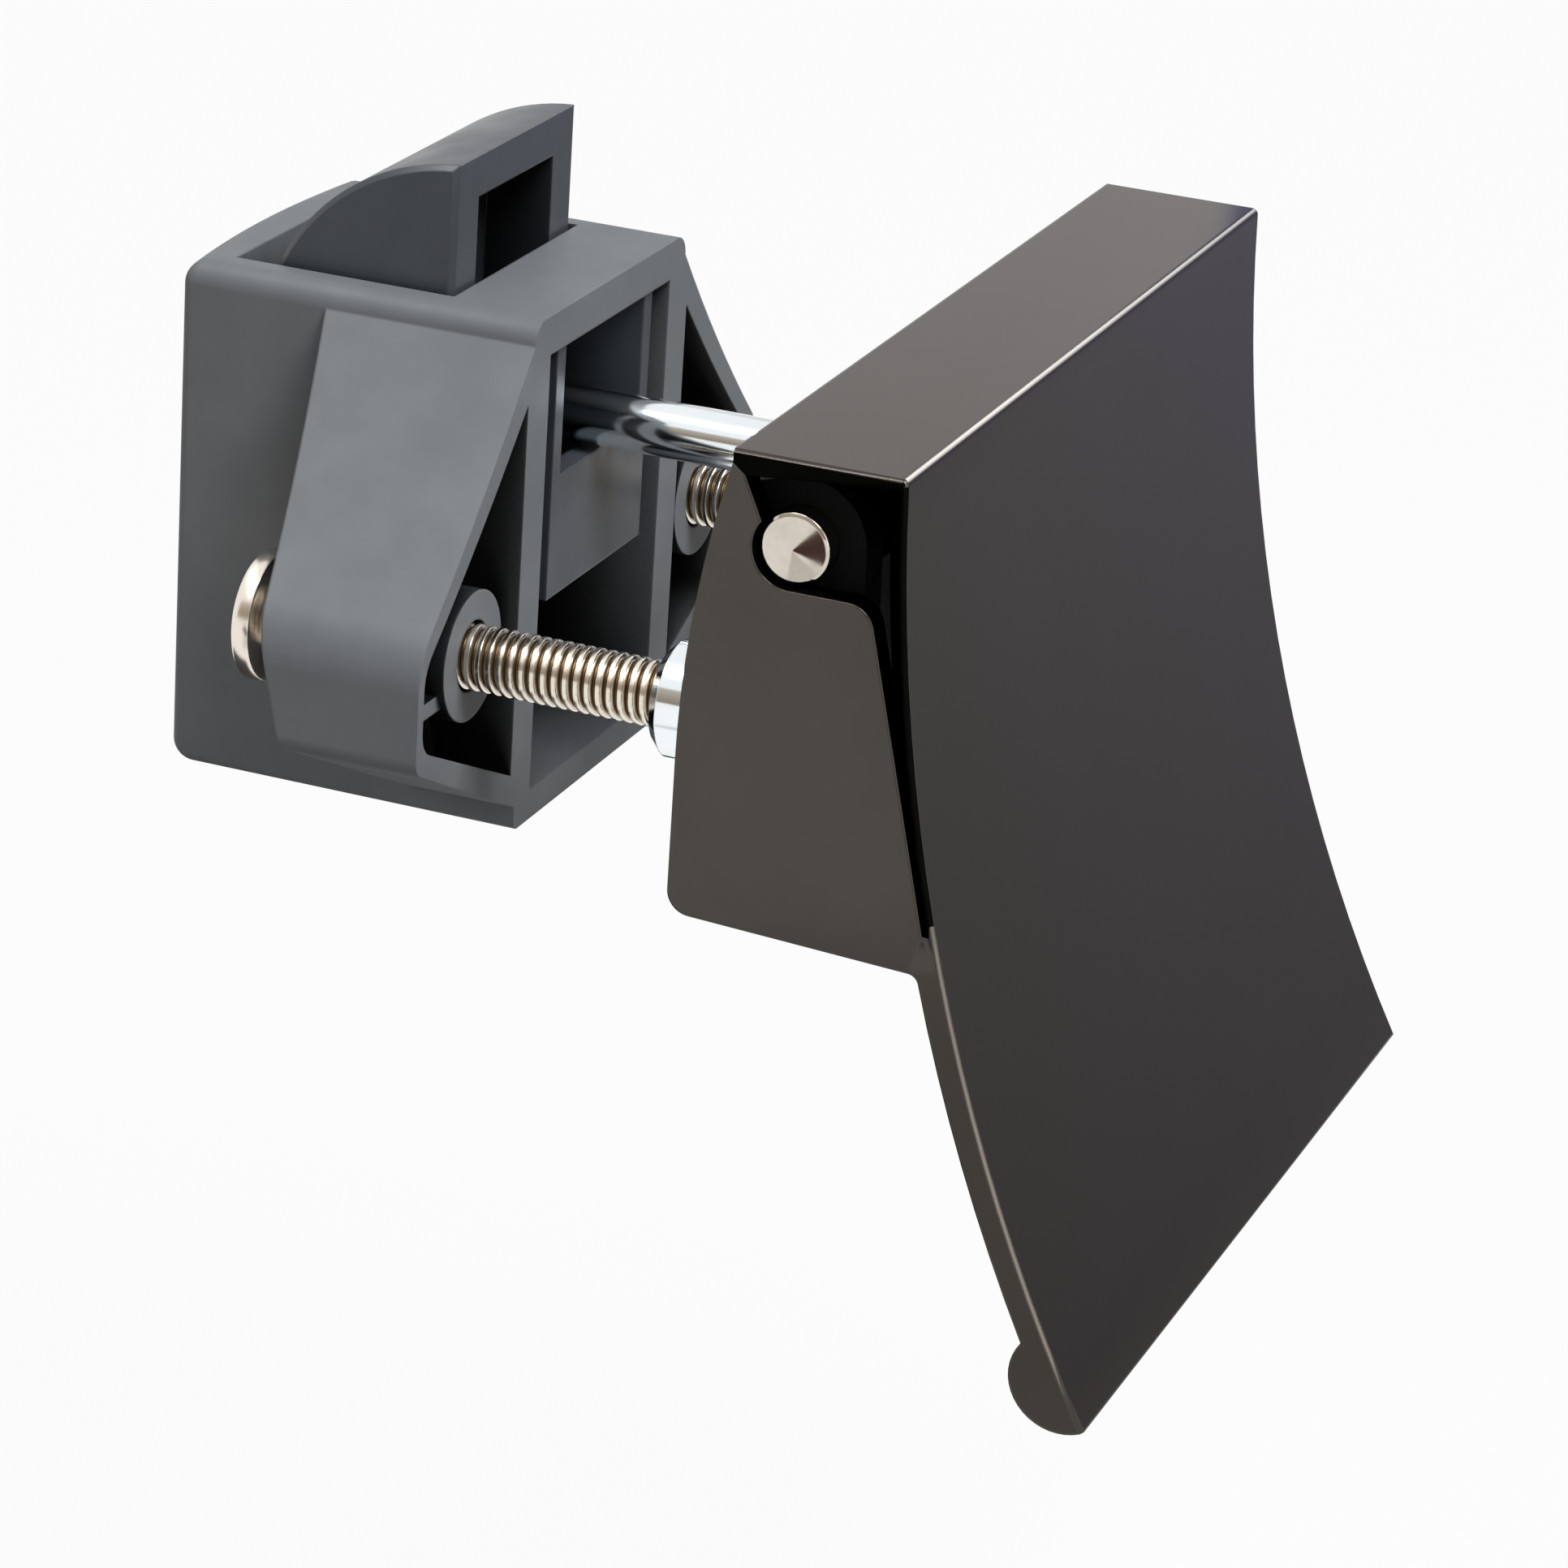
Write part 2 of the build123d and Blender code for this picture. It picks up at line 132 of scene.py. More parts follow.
@dataclass(frozen=True)
class Finish:
    """One surface finish as a principled material.

    Attributes:
        name: What the real surface is and how it was made.
        colour: Base colour as sRGB hex.
        low_colour: Colour of the darker patches.
        roughness: Middle roughness of the surface.
        scatter: How far the roughness strays from the middle.
        metallic: One for a metal, zero for a plastic or paint.
        specular: Specular level of a plastic or paint.
        patch_mm: Size of the colour and roughness patches.
        grain_mm: Size of the fine grain.
        grain_height_mm: Height of the fine grain.
        lay: Run of the fine grain.
        edge_mm: Radius to which sharp edges look worn or moulded.
        recess_mm: Reach of the shade painted into the colour in recesses, zero for none.
    """

    name: str
    colour: str
    low_colour: str
    roughness: float
    scatter: float = 0.05
    metallic: float = 0.0
    specular: float = 0.5
    patch_mm: float = 6.0
    grain_mm: float = 0.2
    grain_height_mm: float = 0.004
    lay: Lay = Lay.EVEN
    edge_mm: float = 0.12
    recess_mm: float = 0.0

    def material(self) -> bpy.types.Material:
        """Make the material, or take it if it is made already."""
        made = bpy.data.materials.get(self.name)
        if made:
            return made
        made = bpy.data.materials.new(self.name)
        made.use_nodes = True
        tree = made.node_tree
        shader = tree.nodes["Principled BSDF"]
        shader.inputs["Metallic"].default_value = self.metallic
        shader.inputs["Specular IOR Level"].default_value = self.specular
        place = add_node(tree, "ShaderNodeTexCoord").outputs["Object"]
        self.colours(tree, shader, place)
        run = add_node(tree, "ShaderNodeMapping", {"Vector": place, "Scale": self.lay.value})
        grain = add_node(tree, "ShaderNodeTexNoise", {
            "Vector": run.outputs[0], "Scale": 1 / (self.grain_mm * MM), "Detail": 3.0, "Roughness": 0.6})
        edge = add_node(tree, "ShaderNodeBevel", {"Radius": self.edge_mm * MM}, samples=6)
        bump = add_node(tree, "ShaderNodeBump", {
            "Height": grain.outputs["Fac"], "Strength": 1.0, "Distance": self.grain_height_mm * MM,
            "Normal": edge.outputs["Normal"]})
        tree.links.new(bump.outputs["Normal"], shader.inputs["Normal"])
        return made

    def colours(self, tree: bpy.types.NodeTree, shader: bpy.types.Node, place: bpy.types.NodeSocket) -> None:
        """Link patches of colour and roughness to the shader.

        Args:
            tree: Node tree of the material.
            shader: Principled shader of the material.
            place: Object coordinates.
        """
        patch = add_node(tree, "ShaderNodeTexNoise", {
            "Vector": place, "Scale": 1 / (self.patch_mm * MM), "Detail": 4.0, "Roughness": 0.55})
        level = add_node(tree, "ShaderNodeMapRange", {
            "Value": patch.outputs["Fac"], "From Min": PATCH_LEVELS[0], "From Max": PATCH_LEVELS[1]})
        self.grade(tree, shader, level.outputs[0])

    def grade(self, tree: bpy.types.NodeTree, shader: bpy.types.Node, level: bpy.types.NodeSocket) -> None:
        """Link the colour and roughness that go with a level.

        Args:
            tree: Node tree of the material.
            shader: Principled shader of the material.
            level: Zero for the low colour and the duller skin, one for the full colour and the glossier skin.
        """
        tint = add_node(tree, "ShaderNodeMix", {
            "Factor": level, "A": linear(self.low_colour), "B": linear(self.colour)}, data_type="RGBA")
        rough = add_node(tree, "ShaderNodeMapRange", {
            "Value": level, "To Min": self.roughness + self.scatter, "To Max": self.roughness - self.scatter})
        # Where recess_mm is set, the base colour takes painted shade in recesses
        shade = self.paint_recess_shade(tree, tint.outputs["Result"]) if self.recess_mm else tint.outputs["Result"]
        tree.links.new(shade, shader.inputs["Base Color"])
        tree.links.new(rough.outputs[0], shader.inputs["Roughness"])

    def paint_recess_shade(self, tree: bpy.types.NodeTree, colour: bpy.types.NodeSocket) -> bpy.types.NodeSocket:
        """Paint shade into a colour where the surface lies deep in a recess of its own piece.

        Args:
            tree: Node tree of the material.
            colour: Colour on the open surface.

        Returns:
            The colour with the shade painted in.
        """
        reach = add_node(tree, "ShaderNodeAmbientOcclusion", {"Distance": self.recess_mm * MM}, samples=8,
                         only_local=True)
        level = add_node(tree, "ShaderNodeMapRange", {
            "Value": reach.outputs["AO"], "From Min": PAINTED_SHADE_LEVELS[0], "From Max": PAINTED_SHADE_LEVELS[1],
            "To Min": PAINTED_SHADE_BLACK})
        return add_node(tree, "ShaderNodeVectorMath", {0: colour, "Scale": level.outputs[0]},
                        operation="SCALE").outputs["Vector"]


@dataclass(frozen=True)
class ThreadedPlate(Finish):
    """Plated screw whose colour and gloss run from a dull brown at the thread's root to bright at its crest.

    Attributes:
        axis_mm: Distance of both screws' axes from the middle plane.
        root_mm: Radius of the thread's root.
        crest_mm: Radius from which the plate is bright.
    """

    axis_mm: float = SCREW_AXIS_MM
    root_mm: float = THREAD_ROOT_MM
    crest_mm: float = 1.98

    def colours(self, tree: bpy.types.NodeTree, shader: bpy.types.Node, place: bpy.types.NodeSocket) -> None:
        """Link a colour and roughness that change from the thread's root to its crest.

        Args:
            tree: Node tree of the material.
            shader: Principled shader of the material.
            place: Object coordinates.
        """
        axes = add_node(tree, "ShaderNodeSeparateXYZ", {0: place})
        across = add_node(tree, "ShaderNodeMath", {0: axes.outputs["X"]}, operation="ABSOLUTE")
        across = add_node(tree, "ShaderNodeMath", {0: across.outputs[0], 1: self.axis_mm * MM},
                          operation="SUBTRACT")
        arm = add_node(tree, "ShaderNodeCombineXYZ", {"X": across.outputs[0], "Z": axes.outputs["Z"]})
        radius = add_node(tree, "ShaderNodeVectorMath", {0: arm.outputs[0]}, operation="LENGTH")
        height = add_node(tree, "ShaderNodeMapRange", {
            "Value": radius.outputs["Value"], "From Min": self.root_mm * MM, "From Max": self.crest_mm * MM},
            interpolation_type="SMOOTHSTEP")
        self.grade(tree, shader, height.outputs[0])


# Injection-moulded nylon: even slate grey with a faint bluish cast, a fine satin skin and soft moulded edges;
# its recess_mm paints shade into its hollows
CASE_NYLON = Finish("moulded nylon, slate grey", "#898a8b", "#828384", 0.5, 0.05, specular=0.2,
                    patch_mm=5.0, grain_mm=0.18, grain_height_mm=0.006, edge_mm=0.22, recess_mm=25.0)
# The bolt is a harder, darker and slightly glossier moulding, so that it slides; its recess_mm paints shade
# into its pocket
BOLT_ACETAL = Finish("moulded acetal, dark slate", "#4f5357", "#494d51", 0.36, 0.05, specular=0.4,
                     patch_mm=4.0, grain_mm=0.15, grain_height_mm=0.004, edge_mm=0.18, recess_mm=12.0)
# Black chrome over a polished zinc casting: a warm dark mirror that brightens at grazing angles
BLACK_CHROME = Finish("black chrome on a polished zinc casting", "#4f4b46", "#4c4843", 0.12, 0.02,
                      metallic=1.0, patch_mm=9.0, grain_mm=0.5, grain_height_mm=0.0004, edge_mm=0.22)
# The same casting where no polish reached it, and painted dark for the shade inside the handle and on the
# window lips: dull and almost black, with a sandy skin and more shade painted into its hollows
RAW_CASTING_AND_SHADE = Finish("blackened zinc as cast and painted shade", "#161512", "#100f0d", 0.6, 0.08, specular=0.0,
                     patch_mm=2.0, grain_mm=0.15, grain_height_mm=0.01, edge_mm=0.1, recess_mm=15.0)
# Black paint on pressed steel: dull, with a fine orange peel
BLACK_PAINT = Finish("matt black paint on steel", "#0b0b0b", "#080808", 0.7, 0.08, specular=0.1,
                     patch_mm=3.0, grain_mm=0.12, grain_height_mm=0.006)
# Nickel plate on a rolled screw: warm silver crests, brown dull valleys
SCREW_NICKEL = ThreadedPlate("nickel plate on a rolled screw", "#efe6d9", "#6b563a", 0.27, 0.06,
                             metallic=1.0, grain_mm=0.1, grain_height_mm=0.002, edge_mm=0.05)
# Turned steel, left bright: warm silver with rings too fine to see singly
PIN_STEEL = Finish("turned bright steel", "#dcd4c8", "#cfc6b9", 0.1, 0.03, metallic=1.0, patch_mm=1.2,
                   grain_mm=0.12, grain_height_mm=0.0012, edge_mm=0.1)
# Bright zinc on drawn steel: cool silver with faint lines along the draw
BRIGHT_ZINC = Finish("bright zinc plate on drawn steel", "#f6fbfd", "#edf3f5", 0.1, 0.03, metallic=1.0,
                     patch_mm=3.0, grain_mm=0.12, grain_height_mm=0.0008, lay=Lay.ALONG_Y, edge_mm=0.12)
# Drawn spring wire: grey steel, slightly dull
SPRING_STEEL = Finish("drawn spring wire", "#a7a8aa", "#94959a", 0.3, 0.06, metallic=1.0, patch_mm=1.5,
                      grain_mm=0.1, grain_height_mm=0.001, edge_mm=0.05)


def dress(node: str, finish: Finish) -> None:
    """Give a solid of the frame its finish.

    Args:
        node: Name of the solid.
        finish: Finish to put on it.
    """
    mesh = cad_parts[node].data
    mesh.materials.clear()
    mesh.materials.append(finish.material())
    LOG.info("%s: %s", node, finish.name)


def mesh_of(name: str, shape: bmesh.types.BMesh) -> bpy.types.Mesh:
    """Turn a shape into a mesh and free the shape.

    Args:
        name: Name of the mesh.
        shape: Shape to turn into a mesh.

    Returns:
        The new mesh.
    """
    mesh = bpy.data.meshes.new(name)
    shape.to_mesh(mesh)
    shape.free()
    return mesh


def add_object(name: str, data: bpy.types.ID) -> bpy.types.Object:
    """Add an object to the scene.

    Args:
        name: Name of the object.
        data: Mesh, light or camera that it shows.

    Returns:
        The new object.
    """
    added = bpy.data.objects.new(name, data)
    bpy.context.scene.collection.objects.link(added)
    return added


def place_piece(name: str, shape: bmesh.types.BMesh, finish: Finish, sharp: float = 38.0) -> bpy.types.Object:
    """Turn a shape drawn in millimetres into a finished object at the origin.

    Args:
        name: Name of the object.
        shape: Mesh in millimetres, freed afterwards.
        finish: Finish to put on it.
        sharp: Angle in degrees from which an edge stays sharp.

    Returns:
        The new object.
    """
    bmesh.ops.remove_doubles(shape, verts=shape.verts, dist=WELD_MM)
    bmesh.ops.recalc_face_normals(shape, faces=shape.faces)
    bmesh.ops.scale(shape, vec=(MM, MM, MM), verts=shape.verts)
    mesh = mesh_of(name, shape)
    mesh.shade_smooth()
    mesh.set_sharp_from_angle(angle=math.radians(sharp))
    mesh.materials.append(finish.material())
    LOG.info("%s: %d faces, %s", name, len(mesh.polygons), finish.name)
    return add_object(name, mesh)


def draw_line(shape: bmesh.types.BMesh, points: list[tuple[float, float, float]]) -> list:
    """Draw a chain of edges.

    Args:
        shape: Mesh that takes the chain.
        points: Corners of the chain.

    Returns:
        The new vertices and edges.
    """
    verts = [shape.verts.new(point) for point in points]
    return verts + [shape.edges.new(pair) for pair in zip(verts, verts[1:])]


def cap_ends(shape: bmesh.types.BMesh) -> None:
    """Close every open rim of a mesh with a flat face."""
    rims = [edge for edge in shape.edges if edge.is_boundary]
    bmesh.ops.holes_fill(shape, edges=rims, sides=0)


def join(shape: bmesh.types.BMesh, other: bmesh.types.BMesh) -> None:
    """Add another mesh to a shape and free it.

    Args:
        shape: Mesh that grows.
        other: Mesh that is added.
    """
    carrier = mesh_of("carrier", other)
    shape.from_mesh(carrier)
    bpy.data.meshes.remove(carrier)


@dataclass
class PullHandle:
    """Handle casting, polished where it shows and dark as cast inside and on the lips of its windows, where
    the dark finish also paints the shade that falls there.

    Attributes:
        front_top_mm: Upper end of the hollow front in Y and Z.
        front_foot_mm: Lower end of the hollow front in Y and Z.
        hollow_mm: Depth of the hollow front.
        end_mm: Distance of the ends from the middle plane.
        inner_mm: Distance of the cheeks' inner faces from the middle plane.
        near_mm: Distance within which a place counts as lying on a face or corner.
        chamfer_mm: Reach of the ends' chamfer towards the middle plane.
        skin_mm: Depth from the front up to which a face counts as the front.
        lip_mm: Width of the lip between the front and a window.
        window_foot_mm: Height of the windows' lower tips.
        window_top_mm: Height of the windows' upper edges.
        brow_mm: Distance below the windows' upper edges from which the ends take the dark finish upwards.
        crown_mm: Distance above the windows' upper edges from which the top is polished.
        cheek_back_mm: Place in Y behind which the cheeks have only their back edges.
        cheek_foot_mm: Height below which nothing is enclosed.
        corner_mm: Upper back corner of the windows in Y and Z.
        corner_shift_mm: Way that this corner is drawn in, so that nothing shows over the bracket.
    """

    front_top_mm: tuple[float, float] = (-12.7, 20.7)
    front_foot_mm: tuple[float, float] = (-27.3, -33.1)
    hollow_mm: float = 3.4
    end_mm: float = 31.3
    inner_mm: float = 29.7
    near_mm: float = 0.05
    chamfer_mm: float = 0.15
    skin_mm: float = 0.3
    lip_mm: float = 0.36
    window_foot_mm: float = -5.3
    window_top_mm: float = 20.1
    brow_mm: float = 0.3
    crown_mm: float = 0.2
    cheek_back_mm: float = -2.8
    cheek_foot_mm: float = -6.5
    corner_mm: tuple[float, float] = (-3.0, 20.1)
    corner_shift_mm: tuple[float, float] = (-0.36, -0.8)

    def build(self) -> None:
        """Dress a merged copy of the casting with two finishes."""
        shape = bmesh.new()
        shape.from_mesh(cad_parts["pull_handle"].data)
        bmesh.ops.scale(shape, vec=(1 / MM, 1 / MM, 1 / MM), verts=shape.verts)
        bmesh.ops.remove_doubles(shape, verts=shape.verts, dist=WELD_MM)
        corners = [vert for vert in shape.verts if self.is_window_corner(vert.co)]
        bmesh.ops.translate(shape, verts=corners, vec=(0, *self.corner_shift_mm))
        for face in shape.faces:
            # Faces that are not polished take the dark finish, which also paints shade inside the handle and
            # beside the windows
            face.material_index = 0 if self.is_polished_and_unshaded(face.calc_center_median()) else 1
        piece = place_piece("polished_pull_handle", shape, BLACK_CHROME, sharp=24.0)
        piece.data.materials.append(RAW_CASTING_AND_SHADE.material())
        even = piece.modifiers.new("even shading", "WEIGHTED_NORMAL")
        even.mode, even.weight, even.keep_sharp = "FACE_AREA", 50, True
        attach(piece, "handle")
        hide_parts("pull_handle")

    def is_window_corner(self, place: Vector) -> bool:
        """Whether a place on the ends is the upper back corner of a window."""
        on_end = abs(place.x) > self.end_mm - self.near_mm
        return on_end and (place.yz - Vector(self.corner_mm)).length < self.near_mm

    def inset(self, place: Vector) -> float:
        """Depth of a place behind the hollow front, in millimetres."""
        top, foot = Vector(self.front_top_mm), Vector(self.front_foot_mm)
        chord = (top - foot).length
        radius = chord**2 / (8 * self.hollow_mm) + self.hollow_mm / 2
        outward = Vector((foot.y - top.y, top.x - foot.x)).normalized()
        centre = (top + foot) / 2 + outward * (radius - self.hollow_mm)
        return (place.yz - centre).length - radius

    def is_polished_and_unshaded(self, place: Vector) -> bool:
        """Whether a place on the casting is polished, rather than dark as cast and painted with the shade of
        the hollows and window lips.
        """
        depth, out = self.inset(place), abs(place.x)
        beside_window = depth < self.lip_mm and self.window_foot_mm < place.z < self.window_top_mm
        # The chamfer beside the windows is painted dark, for the shade there as well as the unpolished
        # casting
        if beside_window and out > self.end_mm - self.chamfer_mm:
            return False
        if out > self.end_mm - self.near_mm:
            return place.z <= self.window_top_mm - self.brow_mm
        if abs(out - self.inner_mm) < self.near_mm:
            return False
        return (depth < self.skin_mm or place.z > self.window_top_mm + self.crown_mm
                or place.z < self.cheek_foot_mm or place.y > self.cheek_back_mm)


@dataclass
class MachineScrew:
    """Pan head machine screw along Y with a rolled thread and a cross recess.

    Attributes:
        side: Side of the latch.
        axis_mm: Distance of the axis from the middle plane.
        tip_mm: Place of the tip.
        seat_mm: Place of the head's underside.
        bite_mm: Reach of the thread into the head.
        radius_mm: Radius of the thread's crest.
        root_mm: Radius of the thread's root.
        pitch_mm: Distance from crest to crest.
        head_radius_mm: Radius of the head.
        head_height_mm: Height of the head.
        dome_mm: Height of the head's dome.
        shoulder_mm: Height of the rounding between the head's side and its dome.
        rim_mm: Rounding of the head's lower rim.
        arm_mm: Width of the recess's arms.
        recess_mm: Reach of the recess from the axis.
        recess_depth_mm: Depth of the recess.
        taper: Share of its width that the recess keeps at its floor.
    """

    side: Side
    axis_mm: float = SCREW_AXIS_MM
    tip_mm: float = 0.2
    seat_mm: float = 31.2
    bite_mm: float = 0.2
    radius_mm: float = 2.0
    root_mm: float = THREAD_ROOT_MM
    pitch_mm: float = 0.7
    head_radius_mm: float = 4.0
    head_height_mm: float = 2.2
    dome_mm: float = 1.1
    shoulder_mm: float = 0.1
    rim_mm: float = 0.3
    arm_mm: float = 0.95
    recess_mm: float = 2.15
    recess_depth_mm: float = 1.2
    taper: float = 0.62

    def build(self) -> None:
        """Make the screw in place of its plain solid."""
        x = self.side.value * self.axis_mm
        shape = bmesh.new()
        self.thread(shape)
        self.head(shape)
        bmesh.ops.translate(shape, verts=shape.verts, vec=(x, 0, 0))
        piece = place_piece(f"{self.side.word}_threaded_screw", shape, SCREW_NICKEL)
        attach(piece, "body")
        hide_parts(f"{self.side.word}_screw")

    def thread(self, shape: bmesh.types.BMesh) -> None:
        """Spin the outline of one pitch along a helix, longer than needed, and trim both ends.

        Args:
            shape: Mesh that takes the thread.
        """
        steps = 36
        # Half a thread from its valley to its crest, as shares of the pitch and of the depth
        flank = ((0.0, 0.0), (0.09, 0.08), (0.22, 0.78), (0.31, 0.97))
        outline = (*flank, (0.5, 1.0), *((1 - along, rise) for along, rise in reversed(flank)))
        depth = self.radius_mm - self.root_mm
        start = self.tip_mm - 1.5 * self.pitch_mm
        turns = math.ceil((self.seat_mm - start) / self.pitch_mm) + 1
        rod = bmesh.new()
        chain = draw_line(rod, [(self.root_mm + depth * rise, start + self.pitch_mm * along, 0)
                                for along, rise in outline])
        bmesh.ops.spin(rod, geom=chain, cent=(0, 0, 0), axis=(0, 1, 0), dvec=(0, self.pitch_mm / steps, 0),
                       angle=2 * math.pi * turns, steps=steps * turns)
        bmesh.ops.remove_doubles(rod, verts=rod.verts, dist=WELD_MM)
        for place, outward in ((self.tip_mm, -1), (self.seat_mm + self.bite_mm, 1)):
            whole = rod.verts[:] + rod.edges[:] + rod.faces[:]
            bmesh.ops.bisect_plane(rod, geom=whole, plane_co=(0, place, 0), plane_no=(0, outward, 0),
                                   clear_outer=True)
        cap_ends(rod)
        join(shape, rod)

    def head(self, shape: bmesh.types.BMesh) -> None:
        """Turn the head and press the cross recess into its dome.

        Args:
            shape: Mesh that takes the head.
        """
        reach, low = self.head_radius_mm, self.seat_mm
        top = low + self.head_height_mm
        foot = top - self.dome_mm - self.shoulder_mm
        ball = (reach**2 + self.dome_mm**2) / (2 * self.dome_mm)
        centre = top - ball
        arc = [(share * reach, centre + math.sqrt(ball**2 - (share * reach) ** 2)) for share in
               (0.97, 0.9, 0.78, 0.64, 0.48, 0.32, 0.16, 0.0)]
        # The middle of a quarter round lies about 0.3 of its radius from both faces
        turn = 0.3 * self.rim_mm
        outline = [(0.0, low), (reach - self.rim_mm, low), (reach - turn, low + turn),
                   (reach, low + self.rim_mm), (reach, foot)]
        head = bmesh.new()
        chain = draw_line(head, [(radius, along, 0) for radius, along in outline + arc])
        bmesh.ops.spin(head, geom=chain, cent=(0, 0, 0), axis=(0, 1, 0), angle=2 * math.pi,
                       steps=ROUND_STEPS, use_merge=True)
        bmesh.ops.remove_doubles(head, verts=head.verts, dist=WELD_MM)
        half = self.arm_mm / 2
        for limit in (-self.recess_mm, -half, half, self.recess_mm):
            for normal in ((1, 0, 0), (0, 0, 1)):
                dome = [face for face in head.faces if face.calc_center_median().y > foot]
                parts = {part for face in dome for part in (*face.verts, *face.edges, face)}
                bmesh.ops.bisect_plane(head, geom=list(parts), plane_co=Vector(normal) * limit,
                                       plane_no=normal)
        floor = [face for face in head.faces if self.in_cross(face.calc_center_median(), foot)]
        pressed = bmesh.ops.extrude_face_region(head, geom=floor)
        bmesh.ops.delete(head, geom=floor, context="FACES")
        sunk = [part for part in pressed["geom"] if isinstance(part, bmesh.types.BMVert)]
        bmesh.ops.scale(head, vec=(self.taper, 1, self.taper), verts=sunk)
        bmesh.ops.translate(head, verts=sunk, vec=(0, -self.recess_depth_mm, 0))
        join(shape, head)

    def in_cross(self, place: Vector, foot: float) -> bool:
        """Whether a place above the dome's foot lies inside the cross recess."""
        near, far = sorted((abs(place.x), abs(place.z)))
        return place.y > foot and near < self.arm_mm / 2 and far < self.recess_mm


@dataclass
class HingePin:
    """Turned pin along X whose ends are faced to a shallow cone.

    Attributes:
        reach_mm: Distance of the ends from the middle plane.
        place_mm: Place of the axis in Y and Z.
        radius_mm: Radius of the pin.
        chamfer_mm: Chamfer of the ends.
        cone_mm: Height of the cone on each end.
        tip_mm: Height and radius of the cone's blunt tip.
    """

    reach_mm: float = 31.2
    place_mm: tuple[float, float] = (-6.3, 15.5)
    radius_mm: float = 2.05
    chamfer_mm: float = 0.18
    cone_mm: float = 0.3
    tip_mm: tuple[float, float] = (0.02, 0.12)

    def build(self) -> None:
        """Turn the pin in place of its plain solid."""
        y, z = self.place_mm
        tip_height, tip_radius = self.tip_mm
        rim = self.reach_mm - self.cone_mm
        half = [(self.reach_mm, 0.0), (self.reach_mm - tip_height, tip_radius),
                (rim, self.radius_mm - self.chamfer_mm), (rim - self.chamfer_mm / 2, self.radius_mm)]
        chain = half + [(-along, radius) for along, radius in reversed(half)]
        shape = bmesh.new()
        line = draw_line(shape, [(along, y, z + radius) for along, radius in chain])
        bmesh.ops.spin(shape, geom=line, cent=(0, y, z), axis=(1, 0, 0), angle=2 * math.pi,
                       steps=ROUND_STEPS, use_merge=True)
        piece = place_piece("turned_hinge_pin", shape, PIN_STEEL, sharp=12.0)
        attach(piece, "body")
        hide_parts("hinge_pin")


@dataclass
class BoltSpring:
    """Round wire compression spring that stands on the floor of the case.

    Attributes:
        depth_mm: Place of the axis in Y.
        low_mm: Height of the lowest wire's centre.
        high_mm: Height of the highest wire's centre.
        turns: Number of turns.
        radius_mm: Radius of the helix.
        wire_mm: Diameter of the wire.
        seat_mm: Height of the floor that it stands on, not used.
        keep: Share of its height that is left when the bolt is drawn in, not used.
    """

    depth_mm: float = 33.25
    low_mm: float = -10.9
    high_mm: float = 11.6
    turns: int = 6
    radius_mm: float = 2.45
    wire_mm: float = 0.7
    seat_mm: float = -11.3
    keep: float = 0.66

    def build(self) -> None:
        """Wind the spring in place of its plain solid."""
        steps = 32
        wire_sides = 12
        shape = bmesh.new()
        ring = bmesh.ops.create_circle(shape, segments=wire_sides, radius=self.wire_mm / 2)["verts"]
        turn = Quaternion((1, 0, 0), math.radians(90)).to_matrix()
        bmesh.ops.rotate(shape, verts=ring, cent=(0, 0, 0), matrix=turn)
        bmesh.ops.translate(shape, verts=ring, vec=(self.radius_mm, self.depth_mm, self.low_mm))
        rise = (self.high_mm - self.low_mm) / (self.turns * steps)
        section = shape.verts[:] + shape.edges[:]
        bmesh.ops.spin(shape, geom=section, cent=(0, self.depth_mm, 0), axis=(0, 0, 1), dvec=(0, 0, rise),
                       angle=2 * math.pi * self.turns, steps=self.turns * steps)
        cap_ends(shape)
        piece = place_piece("round_wire_spring", shape, SPRING_STEEL)
        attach(piece, "body")
        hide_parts("bolt_spring")
        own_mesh(piece)


